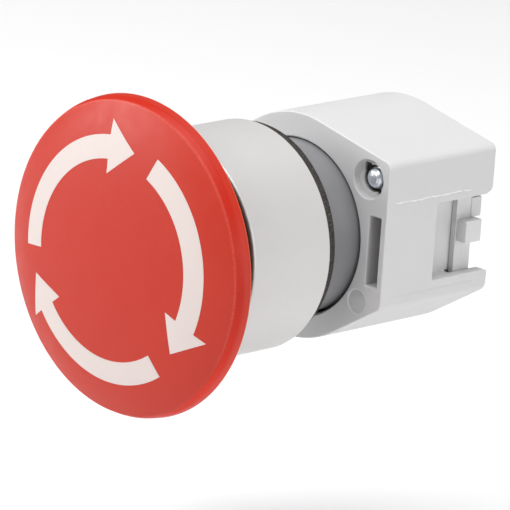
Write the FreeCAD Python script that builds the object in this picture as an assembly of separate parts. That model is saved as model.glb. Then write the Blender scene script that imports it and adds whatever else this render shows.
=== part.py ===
import FreeCAD, Part
import math, os
from FreeCAD import Vector

# Emergency stop actuator, 22 mm panel class: push to lock, twist clockwise to release.
# Millimetres and degrees. +Y runs along the axis from the button to the rear, +Z is up and
# +X is to the right seen from the front. The origin is on the axis, in the plane where the
# gasket meets the front of the panel. FRONT and REAR values are places along Y.

os.makedirs("parts", exist_ok=True)

# ---- dimensions shared between pieces ----
CAP_R = 20.0
CAP_FRONT = -24.39      # crown of the dome
CAP_REAR = -19.4
DOME_R = 87.6           # radius of the slightly domed face
INLAY_DEPTH = 0.4
ANCHOR_R = 5.0          # distance of the twist spring's ends from the axis
ANCHOR_HOLE_R = 0.45

SLEEVE_RO, SLEEVE_RI = 10.2, 7.56
SLEEVE_FRONT, SLEEVE_REAR = -22.0, -6.2
SLEEVE_CLIP_R, SLEEVE_CLIP_FRONT, SLEEVE_CLIP_REAR = 8.15, -8.95, -8.25
TWIST = 40.0            # release turn

PAWL_Y = 4.0
PAWL_HALF = 1.8         # half size along Y
PAWL_HALF_WIDTH = 1.5
PAWL_GAP = 0.05

COLLAR_R, COLLAR_RI = 14.45, 13.35
COLLAR_FRONT, COLLAR_REAR = -13.55, -0.8
SEAL_FRONT, SEAL_REAR = -12.7, -11.1
GASKET_R = 14.35
NECK_R = 11.0
BORE_R = 8.6
BODY_REAR = 21.0
GROOVE_R = 10.0         # floor of the locking groove in the neck
GROOVE_FRONT, GROOVE_REAR = 11.4, 13.6
BODY_CLIP_R, BODY_CLIP_FRONT, BODY_CLIP_REAR = 9.2, 19.3, 20.0

DISC_REAR = 8.5         # plunger disc that carries the return spring
RETAINER_FRONT = 18.0
PLATE_FRONT = 21.3      # thrust plate
TIP_R = 3.2             # rear tip of the plunger
SHAFT_CLIP_RI, SHAFT_CLIP_FRONT = 2.6, 22.55

FLANGE_FRONT, FLANGE_REAR = 8.08, 27.46
FLANGE_HALF_WIDTH = 15.59
FLANGE_HIGH, FLANGE_LOW = 11.37, 7.22   # right-hand corners above and below the axis
FLANGE_R = 14.37        # round top and bottom
SCREW_X, SCREW_Z, SCREW_R = 12.01, 8.64, 1.4
BAY_X, BAY_Z = 14.1, 6.3                # half sizes of the rectangular rear bay
WINDOW_FRONT, WINDOW_LOW, WINDOW_HIGH = 17.2, -4.8, 5.1

CARRIER_REAR = 21.75
CARRIER_BORE_R = 11.25
LATCH_FRONT, LATCH_REAR = 22.65, 26.0
LATCH_SPRING_X = 13.05
LATCH_SPRING_ZS = (-5.45, 5.45)
LATCH_SPRING_FRONT = CARRIER_REAR - 1.15
LATCH_SPRING_REAR = LATCH_FRONT + 1.35
POCKET_R = 0.5          # pockets for the latch springs

QUARTERS = (45, 135, 225, 315)


# ---- helpers ----
def prism(points, along):
    corners = [Vector(*p) for p in points + points[:1]]
    return Part.Face(Part.makePolygon(corners)).extrude(Vector(*along))


def revolve(points):
    """Solid of revolution about the axis from (radius, y) points."""
    corners = [Vector(r, y, 0) for r, y in points + points[:1]]
    return Part.Face(Part.makePolygon(corners)).revolve(Vector(0, 0, 0), Vector(0, 1, 0), 360)


def cyl(r, y0, y1, x=0.0, z=0.0):
    return Part.makeCylinder(r, y1 - y0, Vector(x, y0, z), Vector(0, 1, 0))


def cyl_x(r, x0, x1, y, z=0.0):
    return Part.makeCylinder(r, x1 - x0, Vector(x0, y, z), Vector(1, 0, 0))


def tube(outer, inner, y0, y1, x=0.0, z=0.0):
    return cyl(outer, y0, y1, x, z).cut(cyl(inner, y0 - 1, y1 + 1, x, z))


def box(x0, x1, y0, y1, z0, z1):
    return Part.makeBox(x1 - x0, y1 - y0, z1 - z0, Vector(x0, y0, z0))


def box_pair(half_width, y0, y1, z_in, z_out):
    """Matching boxes below and above the axis."""
    return [box(-half_width, half_width, y0, y1, z0, z1)
            for z0, z1 in ((-z_out, -z_in), (z_in, z_out))]


def polar(r, deg, y=0.0):
    """Point at an angle measured from +X towards +Z."""
    a = math.radians(deg)
    return Vector(r * math.cos(a), y, r * math.sin(a))


def arc(start, mid, end):
    return Part.Arc(start, mid, end).toShape()


def sector(inner, outer, mid, half, y0, y1):
    """Ring sector reaching half degrees to each side of the angle mid."""
    a0, a1 = mid - half, mid + half
    edges = [arc(polar(outer, a0, y0), polar(outer, mid, y0), polar(outer, a1, y0)),
             Part.makeLine(polar(outer, a1, y0), polar(inner, a1, y0)),
             arc(polar(inner, a1, y0), polar(inner, mid, y0), polar(inner, a0, y0)),
             Part.makeLine(polar(inner, a0, y0), polar(outer, a0, y0))]
    return Part.Face(Part.Wire(edges)).extrude(Vector(0, y1 - y0, 0))


def spun(shape, deg):
    turned = shape.copy()
    turned.rotate(Vector(0, 0, 0), Vector(0, 1, 0), deg)
    return turned


def half_turn(shape):
    return spun(shape, 180)


def pair(shape):
    return [shape, half_turn(shape)]


def cut_each(shape, tools):
    for tool in tools:
        shape = shape.cut(tool)
    return shape


def fuse_each(shape, additions):
    for addition in additions:
        shape = shape.fuse(addition)
    return shape


def helix_spring(mean_r, wire_r, length, turns):
    """Coil spring along +Z from z=0 to z=length, measured over the wire."""
    height = length - 2 * wire_r
    pitch = height / turns
    path = Part.Wire(Part.makeHelix(pitch, height, mean_r).Edges)
    tangent = Vector(0, mean_r, pitch / (2 * math.pi))
    section = Part.Wire(Part.makeCircle(wire_r, Vector(mean_r, 0, 0), tangent))
    spring = path.makePipeShell([section], True, True)
    if spring.ShapeType != "Solid":
        spring = Part.Solid(spring)
    spring.translate(Vector(0, 0, wire_r))
    return spring


def spring_y(mean_r, wire_r, y0, y1, turns, x=0.0, z=0.0):
    spring = helix_spring(mean_r, wire_r, y1 - y0, turns)
    spring.rotate(Vector(0, 0, 0), Vector(1, 0, 0), -90)
    spring.translate(Vector(x, y0, z))
    return spring


def circlip(outer, inner, y0, y1, gap_half, eye_r, eye_at, eye_turn):
    """Open ring with its gap at the bottom and an eye at each end."""
    clip = tube(outer, inner, y0, y1)
    clip = clip.cut(sector(inner - 1, outer + 1, -90, gap_half, y0 - 1, y1 + 1))
    for side in (-1, 1):
        eye = polar(eye_at, -90 + side * eye_turn)
        clip = clip.fuse(tube(eye_r, 0.35, y0, y1, eye.x, eye.z))
    return clip


def fillet(shape, pick, r):
    edges = [e for e in shape.Edges if pick(e)]
    if not edges:
        return shape
    # a fillet that fails or gives a bad solid leaves the shape as it was
    try:
        rounded = shape.makeFillet(r, edges)
        return rounded if rounded.isValid() and rounded.Volume > 0 else shape
    except Exception:
        return shape


def near(a, b):
    return abs(a - b) < 0.02


def circle_edge(e, r, y):
    if not hasattr(e.Curve, "Radius"):
        return False
    centre = e.Curve.Center
    return near(e.Curve.Radius, r) and near(centre.y, y) and near(centre.x, 0) and near(centre.z, 0)


def lies_at(e, y):
    return near(e.BoundBox.YMin, y) and near(e.BoundBox.YMax, y)


def save(name, shape):
    # merging faces may fail or spoil the solid, then the plain shape is written
    try:
        merged = shape.removeSplitter()
        if merged.isValid():
            shape = merged
    except Exception:
        pass
    shape.exportStep("parts/" + name + ".step")


# ---- mushroom cap and arrow inlays ----
def dome_y(r):
    return CAP_FRONT + DOME_R - math.sqrt(DOME_R ** 2 - r * r)


def dome_ball(depth=0.0):
    return Part.makeSphere(DOME_R - depth, Vector(0, CAP_FRONT + DOME_R, 0))


def arrow_prism(index):
    """Curved arrow pointing clockwise seen from the front."""
    band_ri, band_ro = 12.5, 15.4
    barb_ri, barb_ro, tip_r = 10.75, 17.3, 14.15
    tip = 79.8 - 120.0 * index
    head, tail = tip + 18.1, tip + 106.0
    middle = (head + tail) / 2
    outer_barb, inner_barb = head - 0.6, head + 0.2
    front, depth = -27.0, 5.5

    def at(r, deg):
        return polar(r, deg, front)

    edges = [Part.makeLine(at(tip_r, tip), at(barb_ro, outer_barb)),
             Part.makeLine(at(barb_ro, outer_barb), at(band_ro, head)),
             arc(at(band_ro, head), at(band_ro, middle), at(band_ro, tail)),
             Part.makeLine(at(band_ro, tail), at(band_ri, tail)),
             arc(at(band_ri, tail), at(band_ri, middle), at(band_ri, inner_barb)),
             Part.makeLine(at(band_ri, inner_barb), at(barb_ri, inner_barb)),
             Part.makeLine(at(barb_ri, inner_barb), at(tip_r, tip))]
    return Part.Face(Part.Wire(edges)).extrude(Vector(0, depth, 0))


def mushroom_cap(arrows, core):
    shoulder_r, shoulder_y, shoulder_mid = 1.8, -20.75, math.radians(-50)
    dome_edge_r = 18.15
    chamfer = 0.3
    crown = Vector(0, CAP_FRONT, 0)
    dome_mid = Vector(dome_edge_r / 2, dome_y(dome_edge_r / 2), 0)
    dome_end = Vector(dome_edge_r, dome_y(dome_edge_r), 0)
    bend = Vector(CAP_R - shoulder_r + shoulder_r * math.cos(shoulder_mid),
                  shoulder_y + shoulder_r * math.sin(shoulder_mid), 0)
    rim = [Vector(CAP_R, shoulder_y, 0), Vector(CAP_R, CAP_REAR - chamfer, 0),
           Vector(CAP_R - chamfer, CAP_REAR, 0), Vector(0, CAP_REAR, 0), crown]
    edges = [arc(crown, dome_mid, dome_end), arc(dome_end, bend, rim[0])]
    edges += [Part.makeLine(start, end) for start, end in zip(rim, rim[1:])]
    cap = Part.Face(Part.Wire(edges)).revolve(Vector(0, 0, 0), Vector(0, 1, 0), 360)
    cap = cap.cut(tube(SLEEVE_RO, SLEEVE_RI, SLEEVE_FRONT, CAP_REAR + 1))
    # rear recess, crossed by six ribs
    rib = box(-20, 20, -22, CAP_REAR + 2, -0.6, 0.6)
    recess = tube(17.8, 11.6, -21.2, CAP_REAR + 1)
    cap = cap.cut(cut_each(recess, [spun(rib, a) for a in (30, 90, 150)]))
    cap = cut_each(cap, [arrow.cut(core) for arrow in arrows])
    return cap.cut(cyl(ANCHOR_HOLE_R, -20.6, CAP_REAR + 1, 0, ANCHOR_R))


arrow_prisms = [arrow_prism(index) for index in range(3)]
inlay_core = dome_ball(INLAY_DEPTH)
save("mushroom_cap", mushroom_cap(arrow_prisms, inlay_core))
save("arrow_inlays", Part.makeCompound(
    [arrow.common(dome_ball()).cut(inlay_core) for arrow in arrow_prisms]))


# ---- twist sleeve, its circlip and the release cam ----
def twist_sleeve():
    chamfer_ri, chamfer_ro, chamfer_y = 10.0, 10.4, SLEEVE_REAR + 0.01
    sleeve = tube(SLEEVE_RO, SLEEVE_RI, SLEEVE_FRONT, SLEEVE_REAR)
    sleeve = sleeve.cut(tube(SLEEVE_CLIP_R, 7.0, SLEEVE_CLIP_FRONT, SLEEVE_CLIP_REAR))
    sleeve = fuse_each(sleeve, pair(sector(6.8, 8.0, 0, 4, -18.3, -16.6)))
    sleeve = sleeve.cut(revolve([(chamfer_ri, chamfer_y), (chamfer_ro, chamfer_y),
                                 (chamfer_ro, SLEEVE_REAR - 0.4)]))
    # coupling notches that take the cam tongues
    return cut_each(sleeve, pair(box(-1.1, 1.1, -7.4, SLEEVE_REAR + 1, 7.0, 10.6)))


def release_cam():
    """Ring with tongues for the sleeve and ramps that face the pawls."""
    cam = tube(7.2, 4.15, -7.6, -5.4)
    cam = fuse_each(cam, pair(box(-1.05, 1.05, -7.35, -6.25, 6.0, 10.1)))
    ramp = sector(4.3, 7.0, 0, 22, -5.6, -4.0)
    slope = prism([(2, -3.9, -4), (2, -3.9, 4), (2, -5.3, 4)], (8, 0, 0))
    return fuse_each(cam, pair(ramp.cut(slope)))


save("twist_sleeve", twist_sleeve())
save("sleeve_circlip", circlip(SLEEVE_CLIP_R, 6.7, SLEEVE_CLIP_FRONT, SLEEVE_CLIP_REAR,
                               gap_half=18, eye_r=1.0, eye_at=6.75, eye_turn=26))
save("release_cam", release_cam())


# ---- plunger and twist return spring ----
def plunger():
    head_r, head_front, head_rear = 7.5, CAP_REAR + 0.1, -9.0
    # radius, front, rear
    steps = [(4.0, head_rear, PLATE_FRONT), (TIP_R, PLATE_FRONT, 23.3),
             (8.5, -0.5, DISC_REAR), (5.2, -3.0, -0.5)]
    shape = cyl(head_r, head_front, head_rear).cut(cyl(6.2, head_front - 1, -11.2))
    shape = fuse_each(shape, [cyl(*step) for step in steps])
    # arc slots that limit the twist
    slot = sector(6.1, 8.0, -TWIST / 2, TWIST / 2 + 7, head_front - 1, -16.2)
    shape = cut_each(shape, pair(slot))
    shape = shape.cut(cyl(ANCHOR_HOLE_R, -11.3, -9.9, 0, ANCHOR_R))
    # cross slot for the pawls
    half, half_width = PAWL_HALF + PAWL_GAP, PAWL_HALF_WIDTH + PAWL_GAP
    shape = shape.cut(box(-9, 9, PAWL_Y - half, PAWL_Y + half, -half_width, half_width))
    # grooves for the guide ribs of the body
    shape = cut_each(shape, box_pair(1.1, -1, 9, 6.85, 9))
    return shape.cut(tube(3.4, SHAFT_CLIP_RI, SHAFT_CLIP_FRONT, 23.05))


def twist_return_spring():
    end_r = 0.38
    spring = spun(spring_y(ANCHOR_R, 0.4, -18.75, -11.4, 6.0), -90)
    return fuse_each(spring, [cyl(end_r, -19.9, -18.3, 0, ANCHOR_R),
                              cyl(end_r, -11.8, -10.1, 0, ANCHOR_R)])


save("plunger", plunger())
save("twist_return_spring", twist_return_spring())


# ---- latch pawls and the spring between them ----
def latch_pawl():
    """Right-hand pawl, with a ring groove for the spring in its inner end."""
    pawl = box(3.0, 8.55, PAWL_Y - PAWL_HALF, PAWL_Y + PAWL_HALF,
               -PAWL_HALF_WIDTH, PAWL_HALF_WIDTH)
    return pawl.cut(cyl_x(1.4, 2.9, 4.5, PAWL_Y).cut(cyl_x(0.7, 2.8, 4.6, PAWL_Y)))


def pawl_spring():
    length = 9.0
    spring = helix_spring(1.05, 0.2, length, 7.0)
    spring.rotate(Vector(0, 0, 0), Vector(0, 1, 0), 90)
    spring.translate(Vector(-length / 2, PAWL_Y, 0))
    return spring


save("latch_pawl_right", latch_pawl())
save("latch_pawl_left", half_turn(latch_pawl()))
save("pawl_spring", pawl_spring())


# ---- return spring, retainer, thrust plate and rear circlips ----
def spring_retainer():
    bore_r = 4.1
    retainer = tube(BORE_R, bore_r, RETAINER_FRONT, BODY_CLIP_FRONT)
    retainer = retainer.fuse(tube(5.4, bore_r, 17.2, 18.2))
    return cut_each(retainer, [spun(cyl(0.8, 16, 20, 0, 7.0), a) for a in QUARTERS])


def thrust_plate():
    plate = cyl(10.4, PLATE_FRONT, 22.5).cut(cyl(TIP_R, 21, 23))
    plate = cut_each(plate, [spun(cyl(1.6, 21, 23, 0, 7.2), a) for a in QUARTERS])
    return cut_each(plate, box_pair(2.2, 21, 23, 9.2, 12))


def shaft_circlip():
    """Ring with a slot at the bottom and two arc openings in the upper half."""
    clip = tube(5.0, SHAFT_CLIP_RI, SHAFT_CLIP_FRONT, 23.0).cut(box(-1.9, 1.9, 22, 24, -6, 0))
    return cut_each(clip, [sector(3.3, 4.1, mid, 24, 22, 24) for mid in (40, 140)])


save("return_spring", spring_y(6.1, 0.45, DISC_REAR, RETAINER_FRONT, 4.5))
save("spring_retainer", spring_retainer())
save("body_circlip", circlip(BODY_CLIP_R, 7.7, BODY_CLIP_FRONT, BODY_CLIP_REAR,
                             gap_half=15, eye_r=0.95, eye_at=7.6, eye_turn=21))
save("thrust_plate", thrust_plate())
save("shaft_circlip", shaft_circlip())


# ---- collar, body and seals ----
def collar():
    lip_r = 11.0
    shape = revolve([(COLLAR_RI, COLLAR_REAR), (COLLAR_R, COLLAR_REAR), (COLLAR_R, COLLAR_FRONT),
                     (lip_r, COLLAR_FRONT), (lip_r, SEAL_FRONT), (COLLAR_RI, SEAL_FRONT)])
    # edge radius, edge y, fillet
    for edge_r, edge_y, r in ((COLLAR_R, COLLAR_FRONT, 0.4), (COLLAR_R, COLLAR_REAR, 0.2),
                              (lip_r, COLLAR_FRONT, 0.3)):
        shape = fillet(shape, lambda e: circle_edge(e, edge_r, edge_y), r)
    return shape


def panel_key():
    """Anti-rotation key for the notch of the panel hole."""
    return box(-1.5, 1.5, COLLAR_REAR, 1.5, 10.5, 12.05)


def whole_body():
    mouth_r, mouth_rear, chamfer = 10.45, -2.0, 0.5
    body = revolve([
        (mouth_r, SEAL_REAR), (COLLAR_RI, SEAL_REAR), (COLLAR_RI, COLLAR_REAR),
        (NECK_R, COLLAR_REAR), (NECK_R, GROOVE_FRONT), (GROOVE_R, GROOVE_FRONT),
        (GROOVE_R, GROOVE_REAR), (NECK_R, GROOVE_REAR), (NECK_R, BODY_REAR - chamfer),
        (NECK_R - chamfer, BODY_REAR), (BORE_R, BODY_REAR), (BORE_R, BODY_CLIP_REAR),
        (BODY_CLIP_R, BODY_CLIP_REAR), (BODY_CLIP_R, BODY_CLIP_FRONT),
        (BORE_R, BODY_CLIP_FRONT), (BORE_R, mouth_rear), (mouth_r, mouth_rear)])
    # entry slots for the lugs of the lock ring
    body = cut_each(body, [sector(GROOVE_R, 12.0, mid, 12, GROOVE_REAR - 0.5, BODY_REAR + 1)
                           for mid in (15, 105, 195, 285)])
    body = fuse_each(body, box_pair(1.0, -1.0, 13.0, 7.0, 9.5))
    # pawl tracks with an inclined run-up; points are x, y
    track = [(8.0, 2.0), (8.62, 2.0), (8.62, 2.2), (9.42, 6.2), (9.42, 9.95), (8.0, 9.95)]
    half_width = 1.6
    track = prism([(x, y, -half_width) for x, y in track], (0, 0, 2 * half_width))
    return cut_each(body, pair(track)).fuse(panel_key())


def panel_gasket():
    gasket = tube(GASKET_R, NECK_R, COLLAR_REAR, 0.0)
    gasket = fillet(gasket, lambda e: (circle_edge(e, GASKET_R, 0.0)
                                       or circle_edge(e, GASKET_R, COLLAR_REAR)), 0.1)
    # notch that drops over the key
    return gasket.cut(box(-1.7, 1.7, -2.0, 1.0, 10.0, 12.2))


save("collar", collar())
# the front ring and the neck are two pieces joined by a spigot
body_blank = whole_body()
spigot = cyl(NECK_R, -4.0, 26.0).fuse(panel_key())
save("front_ring", body_blank.cut(spigot))
save("actuator_body", body_blank.common(spigot))
save("stem_seal", revolve([(10.25, SEAL_FRONT), (13.3, SEAL_FRONT), (13.3, SEAL_REAR),
                           (10.9, SEAL_REAR), (10.9, -11.7), (10.25, -12.2)]))
save("panel_gasket", panel_gasket())


# ---- mounting flange ----
def flange_outline():
    """Half-turn symmetric: round top and bottom, flat sides, flat slanted shoulders."""
    def tangent_angle(z):
        reach = math.hypot(FLANGE_HALF_WIDTH, z)
        return math.degrees(math.atan2(z, FLANGE_HALF_WIDTH) + math.acos(FLANGE_R / reach))

    right, left = tangent_angle(FLANGE_HIGH), 180 - tangent_angle(FLANGE_LOW)
    edges = []
    for side, turn in ((1, 0), (-1, 180)):
        low = Vector(side * FLANGE_HALF_WIDTH, 0, -side * FLANGE_LOW)
        high = Vector(side * FLANGE_HALF_WIDTH, 0, side * FLANGE_HIGH)
        next_low = Vector(-low.x, 0, -low.z)
        start, middle, end = [polar(FLANGE_R, turn + a)
                              for a in (right, (right + left) / 2, left)]
        edges += [Part.makeLine(low, high), Part.makeLine(high, start),
                  arc(start, middle, end), Part.makeLine(end, next_low)]
    return Part.Wire(edges)


def nut_blank():
    half = 2.2
    return box(SCREW_X - half, SCREW_X + half, 16.6, 18.4, SCREW_Z - half, SCREW_Z + half)


def window_flare(r, z_edge, side):
    """Rounded widening of the window's rear mouth; side is +1 above, -1 below."""
    y, z = FLANGE_REAR - r, z_edge + side * r
    z0, z1 = sorted((z_edge - side * 0.1, z))
    block = box(BAY_X - 1.0, FLANGE_HALF_WIDTH + 1, y, FLANGE_REAR + 1, z0, z1)
    return block.cut(cyl_x(r, BAY_X - 2, BAY_X + 6, y, z))


def flange_housing():
    flange = Part.Face(flange_outline()).extrude(Vector(0, FLANGE_REAR - FLANGE_FRONT, 0))
    flange.translate(Vector(0, FLANGE_FRONT, 0))

    def long_corner(e, z):
        b = e.BoundBox
        return (b.YLength > 19 and b.XLength < 0.01 and b.ZLength < 0.01
                and near(abs(b.XMin), FLANGE_HALF_WIDTH) and near(abs(b.ZMin), z))

    for z, r in ((FLANGE_HIGH, 0.9), (FLANGE_LOW, 1.2)):
        flange = fillet(flange, lambda e: long_corner(e, z), r)
    for y, r in ((FLANGE_REAR, 0.5), (FLANGE_FRONT, 0.2)):
        flange = fillet(flange, lambda e: lies_at(e, y), r)
    flange = flange.cut(cyl(11.3, FLANGE_FRONT - 1, 11.0)).cut(cyl(12.95, 10.3, FLANGE_REAR + 1))
    flange = flange.cut(box(-BAY_X, BAY_X, 15.0, FLANGE_REAR + 1, -BAY_Z, BAY_Z))
    # counterbore at the front of the screw hole
    cutter = cyl(2.5, FLANGE_FRONT - 1, FLANGE_FRONT + 1.0, SCREW_X, SCREW_Z)
    cutter = fuse_each(cutter, [
        cyl(1.7, FLANGE_FRONT, 10.2, SCREW_X, SCREW_Z),
        # notches beside the screw hole
        box(SCREW_X - 1.5, SCREW_X - 0.6, FLANGE_FRONT, 12.0, SCREW_Z + 0.9, SCREW_Z + 2.0),
        box(SCREW_X + 0.6, SCREW_X + 1.4, FLANGE_FRONT, 12.0, SCREW_Z - 1.95, SCREW_Z - 0.9),
        # screw hole, head recess and nut pocket
        cyl(1.55, FLANGE_FRONT, FLANGE_REAR, SCREW_X, SCREW_Z),
        cyl(2.5, 21.4, FLANGE_REAR + 1, SCREW_X, SCREW_Z),
        nut_blank(),
        # rectangular pocket in the front face
        box(12.73, 14.64, FLANGE_FRONT - 1, 15.2, -4.76, 4.18),
        # ejector mark, a shallow round dimple
        cyl(1.52, FLANGE_FRONT - 1, FLANGE_FRONT + 0.12, 11.53, -7.12),
        # side window, open towards the rear
        box(BAY_X - 1.0, FLANGE_HALF_WIDTH + 1, WINDOW_FRONT, FLANGE_REAR + 1,
            WINDOW_LOW, WINDOW_HIGH),
        window_flare(1.2, WINDOW_HIGH, 1),
        window_flare(0.9, WINDOW_LOW, -1)])
    flange = cut_each(flange, pair(cutter))
    # opening for the lever of the lock ring, left side only
    return flange.cut(box(-18, -12.0, 10.95, 13.65, -6.0, 6.0))


def lock_ring():
    ring_ri, gap = 11.2, 0.1
    lever_front, lever_rear, lever_end = 11.1, 13.5, -17.4
    ring = tube(12.8, ring_ri, 10.4, 14.2)
    ring = fuse_each(ring, [sector(GROOVE_R + gap, ring_ri + 0.5, mid, 9,
                                   GROOVE_FRONT + gap, GROOVE_REAR - gap) for mid in QUARTERS])
    lever = box(-16.6, -12.0, lever_front, lever_rear, -1.1, 1.1)
    lever = lever.fuse(box(lever_end, -15.9, lever_front, lever_rear, -1.5, 1.5))
    lever = fillet(lever, lambda e: (e.BoundBox.YLength > 2
                                     and near(e.BoundBox.XMin, lever_end)), 0.5)
    return ring.fuse(spun(lever, -15))


def clamp_screw():
    shank_rear, head_rear = 24.2, 25.6
    # blunt domed point, then a plain shank
    screw = revolve([(0, 8.6), (0.4, 8.65), (0.85, 8.86), (1.2, 9.22), (SCREW_R, 9.75),
                     (SCREW_R, shank_rear), (0, shank_rear)])
    screw.translate(Vector(SCREW_X, 0, SCREW_Z))
    head = cyl(2.2, 24.0, head_rear, SCREW_X, SCREW_Z)
    screw = screw.fuse(fillet(head, lambda e: lies_at(e, head_rear), 0.5))
    return screw.cut(box(SCREW_X - 3, SCREW_X + 3, 24.9, 27, SCREW_Z - 0.3, SCREW_Z + 0.3))


save("flange_housing", flange_housing())
save("lock_ring", lock_ring())
save("clamp_screw_upper", clamp_screw())
save("clamp_screw_lower", half_turn(clamp_screw()))
save("clamp_nuts", Part.makeCompound(
    pair(nut_blank().cut(cyl(SCREW_R + 0.05, 16, 19, SCREW_X, SCREW_Z)))))


# ---- contact block carrier with its two sprung latches ----
def contact_carrier():
    half_x, half_z, floor_x, plate_z = 14.05, 6.2, 13.05, 4.8
    bore = cyl(CARRIER_BORE_R, 14, 28)
    window = box(floor_x, 15.0, WINDOW_FRONT, 30, -plate_z, plate_z)
    plate = box(11.75, floor_x, 18.5, 26.4, -plate_z, plate_z)
    carrier = cyl(12.9, 14.35, 16.2)
    carrier = carrier.fuse(box(-half_x, half_x, 15.05, CARRIER_REAR, -half_z, half_z)).cut(bore)
    for a in (0, 180):
        carrier = carrier.cut(spun(window, a)).fuse(spun(plate, a))
        for z in LATCH_SPRING_ZS:
            pocket = cyl(POCKET_R, LATCH_SPRING_FRONT, CARRIER_REAR + 1, LATCH_SPRING_X, z)
            carrier = carrier.cut(spun(pocket, a))
    # the side plates reach into the bore, so it is cut again
    return carrier.cut(bore)


def release_latch():
    """Right-hand latch strip with two arms, a thumb tab and a hook."""
    inner_x, outer_x, half_z = 13.15, 13.95, 6.15
    strip = [(inner_x, LATCH_FRONT), (outer_x, LATCH_FRONT)]    # x, y
    for y in (23.75, 24.05, 24.35, 24.65):
        # small V groove in the outer face
        strip += [(outer_x, y - 0.07), (outer_x - 0.06, y), (outer_x, y + 0.07)]
    strip += [(outer_x, 24.85), (outer_x - 0.35, 25.9), (outer_x - 0.42, LATCH_REAR),
              (inner_x, LATCH_REAR)]
    hook = [(13.4, 22.85), (15.35, 22.85), (15.55, 23.05), (15.55, 25.6), (15.35, 25.8),
            (13.4, 25.8)]
    latch = prism([(x, y, -half_z) for x, y in strip], (0, 0, 2 * half_z))
    latch = fuse_each(latch, [box(12.4, 13.5, LATCH_FRONT, LATCH_REAR, z0, z1)
                              for z0, z1 in ((-half_z, -4.85), (4.85, half_z))])
    latch = latch.fuse(box(inner_x, outer_x, 25.3, 27.15, 1.8, 4.35))
    latch = latch.fuse(prism([(x, y, -0.9) for x, y in hook], (0, 0, 2.8)))
    latch = cut_each(latch, [cyl(POCKET_R, LATCH_FRONT - 0.5, LATCH_SPRING_REAR,
                                 LATCH_SPRING_X, z) for z in LATCH_SPRING_ZS])
    return latch.removeSplitter()


save("contact_carrier", contact_carrier())
save("release_latch_right", release_latch())
save("release_latch_left", half_turn(release_latch()))
latch_springs = [spring_y(0.36, 0.1, LATCH_SPRING_FRONT, LATCH_SPRING_REAR, 8.0,
                          LATCH_SPRING_X, z) for z in LATCH_SPRING_ZS]
save("latch_springs_right", Part.makeCompound(latch_springs))
save("latch_springs_left", Part.makeCompound([half_turn(s) for s in latch_springs]))
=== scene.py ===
# Push button with a red mushroom cap that also twists, on a grey mounting flange.
# The push axis is the Y axis: the cap faces the front (-Y), the contact carrier is at the
# rear (+Y), and +Z is up. The flange and what it holds look the same after a half turn about Y.
# Shapes are given in mm; shader, light and camera lengths are in metres.
import math
import bpy
import bmesh
from mathutils import Matrix, Vector
from mathutils.geometry import delaunay_2d_cdt


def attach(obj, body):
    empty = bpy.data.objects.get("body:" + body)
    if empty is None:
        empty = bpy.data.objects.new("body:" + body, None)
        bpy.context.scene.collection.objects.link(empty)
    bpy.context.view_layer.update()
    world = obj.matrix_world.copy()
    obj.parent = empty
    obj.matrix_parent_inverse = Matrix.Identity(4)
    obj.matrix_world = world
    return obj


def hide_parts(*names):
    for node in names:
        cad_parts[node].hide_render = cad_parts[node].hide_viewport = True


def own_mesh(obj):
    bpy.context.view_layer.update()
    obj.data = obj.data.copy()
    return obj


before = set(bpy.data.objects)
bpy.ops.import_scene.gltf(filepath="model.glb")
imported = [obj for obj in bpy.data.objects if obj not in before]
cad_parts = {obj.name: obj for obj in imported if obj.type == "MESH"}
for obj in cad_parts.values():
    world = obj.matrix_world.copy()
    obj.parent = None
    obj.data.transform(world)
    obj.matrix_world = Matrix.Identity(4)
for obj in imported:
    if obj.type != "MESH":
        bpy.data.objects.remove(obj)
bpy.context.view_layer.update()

MM = 0.001
TAU = 2 * math.pi

# cap: a shallow dome, closed by a flat rear face
CAP_FRONT, CAP_REAR = -24.39, -19.4
DOME_RADIUS = 87.6
INK_HEIGHT = 0.022          # how far the arrows stand proud of the dome
INK_DEPTH = 0.25            # how far they reach into it

# collar, seals and neck behind the cap
COLLAR_RADIUS, COLLAR_BORE = 14.45, 13.35
COLLAR_FRONT, COLLAR_REAR = -13.55, -0.28
SEAL_FRONT, SEAL_REAR = -12.7, -11.1
GASKET_RADIUS, GASKET_REAR = 13.85, 0.90
GASKET_X, GASKET_Z = 0.25, 0.30
NECK_RADIUS, NECK_BORE, NECK_FRONT = 11.0, 8.6, -4.0
STEM_HOLE_RADIUS = 10.45

# flange: two flat sides at +-FLAT_X joined by arcs, with a tall and a low corner on each side
FLANGE_FRONT, FLANGE_REAR = 8.08, 27.46
FLAT_X, TALL_Z, LOW_Z, ARC_RADIUS = 15.59, 11.37, 7.22, 14.37
SCREW_X, SCREW_Z = 12.01, 8.64
MARK_X, MARK_Z, MARK_RADIUS = 11.53, -7.12, 1.5     # round ejector mark

# carrier, latches and the small springs between them
CARRIER_FRONT, CARRIER_REAR = 15.05, 21.75
LATCH_FRONT, LATCH_REAR = 22.65, 26.0
LATCH_INNER_X, LATCH_OUTER_X = 13.15, 13.95
COIL_X, COIL_Z = 13.05, 5.45
COIL_FRONT, COIL_REAR = CARRIER_REAR - 1.15, LATCH_FRONT + 1.35
SPRING_HOLE_RADIUS = 0.5


# ---------------------------------------------------------------------------------------
# outlines
# ---------------------------------------------------------------------------------------
def polar(radius, degrees):
    return radius * math.cos(math.radians(degrees)), radius * math.sin(math.radians(degrees))


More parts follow.
